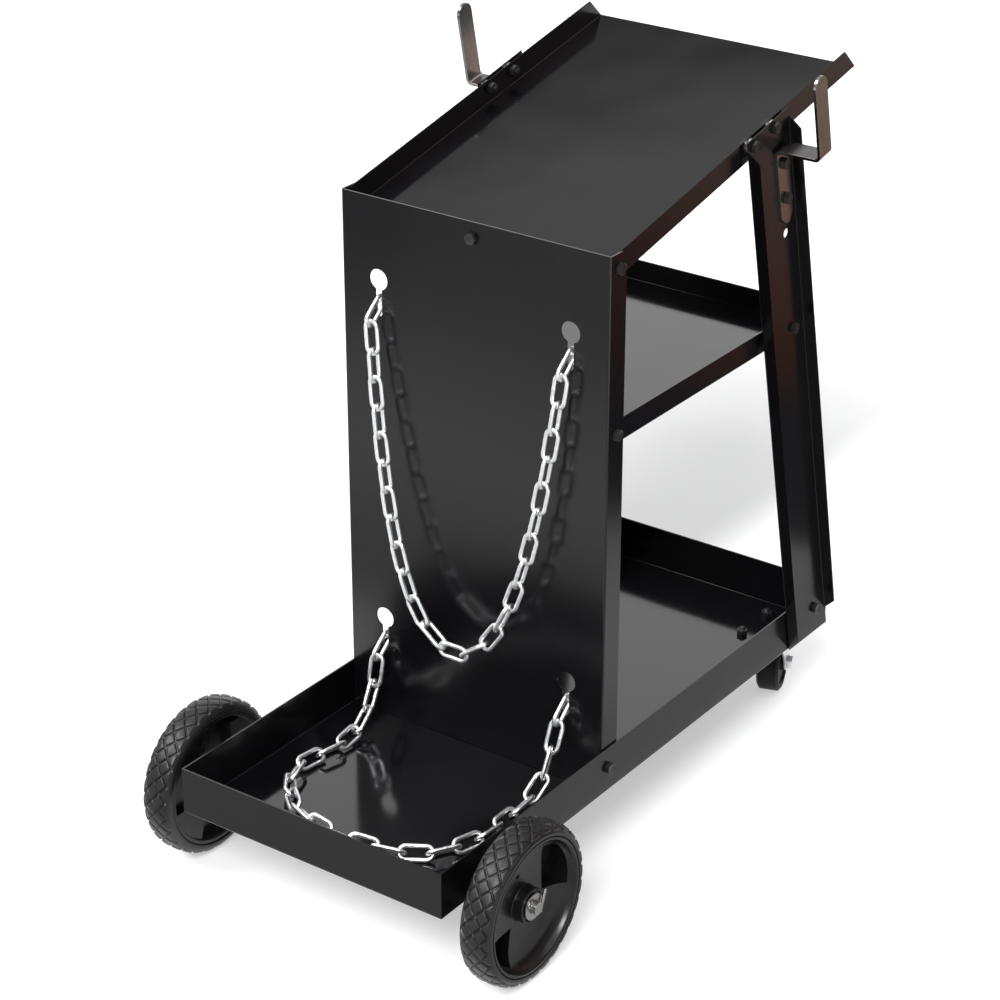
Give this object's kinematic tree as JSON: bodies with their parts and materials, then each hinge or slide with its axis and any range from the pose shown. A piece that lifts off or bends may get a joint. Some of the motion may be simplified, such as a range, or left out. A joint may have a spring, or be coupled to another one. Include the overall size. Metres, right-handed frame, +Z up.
{
  "type": "welding cart",
  "caption": "Welding cart with a sloped top tray, a middle shelf, a cylinder platform with hanging chains, fixed wheels, swivel casters and cable hooks.",
  "frame": {"origin": "on the floor, at the middle of the cart's footprint", "axes": "+X to the cart's right seen from the cylinder platform, +Y from the platform to the caster end, +Z up"},
  "size_m": [0.392, 0.6656, 0.7035],
  "materials": {
    "powder_coat": "gloss black powder coat",
    "hook_steel": "bright rolled steel strap",
    "zinc": "bright zinc plating",
    "tyre_rubber": "moulded rubber with raised blocks",
    "rim_plastic": "satin moulded plastic",
    "caster_chrome": "bright plated steel",
    "caster_rubber": "smooth rubber",
    "black_bolt": "black oxide"
  },
  "bodies": {
    "cart_frame": {"base_tray": "powder_coat", "back_panel": "powder_coat", "top_tray": "powder_coat", "middle_shelf": "powder_coat", "left_post": "powder_coat", "right_post": "powder_coat", "left_cable_hook": "hook_steel", "right_cable_hook": "hook_steel", "axle": "zinc", "left_axle_strap": "powder_coat", "right_axle_strap": "powder_coat", "wheel_washers": "zinc", "cotter_pins": "zinc", "left_caster_plate": "caster_chrome", "left_caster_kingpin": "caster_chrome", "left_caster_bearing": "caster_chrome", "right_caster_plate": "caster_chrome", "right_caster_kingpin": "caster_chrome", "right_caster_bearing": "caster_chrome", "upper_chain_end_links": "zinc", "lower_chain_end_links": "zinc", "panel_bolts": "black_bolt", "panel_nuts": "black_bolt", "post_bolts": "black_bolt", "post_nuts": "black_bolt", "post_spacers": "zinc", "hook_bolts": "black_bolt", "hook_nuts": "black_bolt", "caster_bolts": "black_bolt", "caster_nuts": "black_bolt"},
    "left_wheel": {"left_tyre": "tyre_rubber", "left_rim": "rim_plastic"},
    "right_wheel": {"right_tyre": "tyre_rubber", "right_rim": "rim_plastic"},
    "left_caster": {"left_caster_fork": "caster_chrome", "left_caster_axle": "caster_chrome"},
    "right_caster": {"right_caster_fork": "caster_chrome", "right_caster_axle": "caster_chrome"},
    "left_caster_roller": {"left_caster_wheel": "caster_rubber"},
    "right_caster_roller": {"right_caster_wheel": "caster_rubber"},
    "upper_chain_loop": {"upper_chain": "zinc"},
    "lower_chain_loop": {"lower_chain": "zinc"}
  },
  "joints": [
    {"name": "left_wheel_spin", "type": "hinge", "parent": "cart_frame", "child": "left_wheel", "pos_m": [-0.1782, -0.2578, 0.075], "axis": [1, 0, 0], "continuous": true},
    {"name": "right_wheel_spin", "type": "hinge", "parent": "cart_frame", "child": "right_wheel", "pos_m": [0.1782, -0.2578, 0.075], "axis": [1, 0, 0], "continuous": true},
    {"name": "left_caster_swivel", "type": "hinge", "parent": "cart_frame", "child": "left_caster", "pos_m": [-0.1082, 0.2722, 0.0721], "axis": [0, 0, 1], "continuous": true},
    {"name": "left_caster_roll", "type": "hinge", "parent": "left_caster", "child": "left_caster_roller", "pos_m": [-0.09843, 0.30056, 0.031], "axis": [0.9455, -0.3256, 0], "continuous": true},
    {"name": "right_caster_swivel", "type": "hinge", "parent": "cart_frame", "child": "right_caster", "pos_m": [0.1082, 0.2722, 0.0721], "axis": [0, 0, 1], "continuous": true},
    {"name": "right_caster_roll", "type": "hinge", "parent": "right_caster", "child": "right_caster_roller", "pos_m": [0.09843, 0.30056, 0.031], "axis": [0.9455, 0.3256, 0], "continuous": true},
    {"name": "upper_chain_swing", "type": "hinge", "parent": "cart_frame", "child": "upper_chain_loop", "pos_m": [0, -0.09532, 0.49078], "axis": [-1, 0, 0], "range_deg": [0, 75]},
    {"name": "lower_chain_lift", "type": "hinge", "parent": "cart_frame", "child": "lower_chain_loop", "pos_m": [0, -0.09532, 0.15078], "axis": [-1, 0, 0], "range_deg": [0, 60]}
  ]
}
